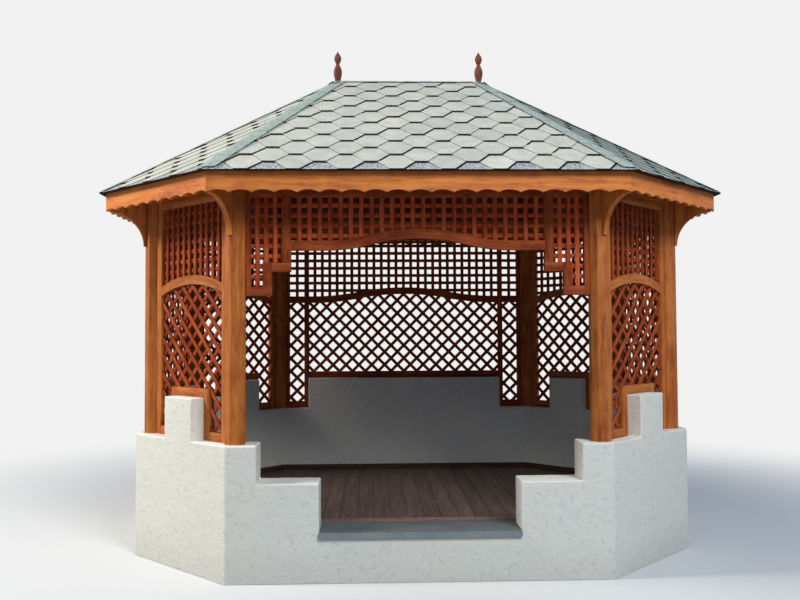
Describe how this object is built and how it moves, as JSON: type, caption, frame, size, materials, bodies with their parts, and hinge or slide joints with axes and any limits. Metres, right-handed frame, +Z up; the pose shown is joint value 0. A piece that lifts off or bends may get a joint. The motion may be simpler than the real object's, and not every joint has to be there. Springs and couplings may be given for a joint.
{
  "type": "garden gazebo",
  "caption": "Elongated octagonal timber gazebo on low stepped rendered walls, with lattice panels, a hipped shingle roof, turned finials and a wide doorway.",
  "frame": {"origin": "on the ground, at the centre of the bounding box seen from above", "axes": "+Z up, X along the long front, the doorway faces -Y"},
  "size_m": [4.51, 3.35, 3.8997],
  "materials": {
    "stained_timber": "stained, satin",
    "dark_timber": "dark stained",
    "floor_timber": "oiled boards",
    "render": "rough white render",
    "concrete": "plain concrete",
    "sill_stone": "sawn stone",
    "shingles": "mineral granules"
  },
  "bodies": {
    "root": {"back_panel_centre": "stained_timber", "back_panel_left": "stained_timber", "back_panel_right": "stained_timber", "common_rafters": "stained_timber", "door_sill": "sill_stone", "eave_brackets": "stained_timber", "fascia_boards": "stained_timber", "finials": "stained_timber", "floor_base": "concrete", "floor_boards": "floor_timber", "frieze_centre": "stained_timber", "frieze_left": "stained_timber", "frieze_right": "stained_timber", "hip_and_ridge_caps": "shingles", "hip_rafters": "stained_timber", "lattice_left_back": "stained_timber", "lattice_left_front": "stained_timber", "lattice_left_side": "stained_timber", "lattice_right_back": "stained_timber", "lattice_right_front": "stained_timber", "lattice_right_side": "stained_timber", "post_back_left": "stained_timber", "post_back_right": "stained_timber", "post_front_left": "stained_timber", "post_front_right": "stained_timber", "post_left_back": "stained_timber", "post_left_front": "stained_timber", "post_right_back": "stained_timber", "post_right_front": "stained_timber", "ridge_beam": "stained_timber", "ring_beam": "stained_timber", "roof_deck": "stained_timber", "roof_shingles": "shingles", "skirting": "dark_timber", "wall_back": "render", "wall_front_left": "render", "wall_front_right": "render", "wall_left_back": "render", "wall_left_front": "render", "wall_left_side": "render", "wall_right_back": "render", "wall_right_front": "render", "wall_right_side": "render", "wall_threshold": "render"}
  },
  "joints": []
}
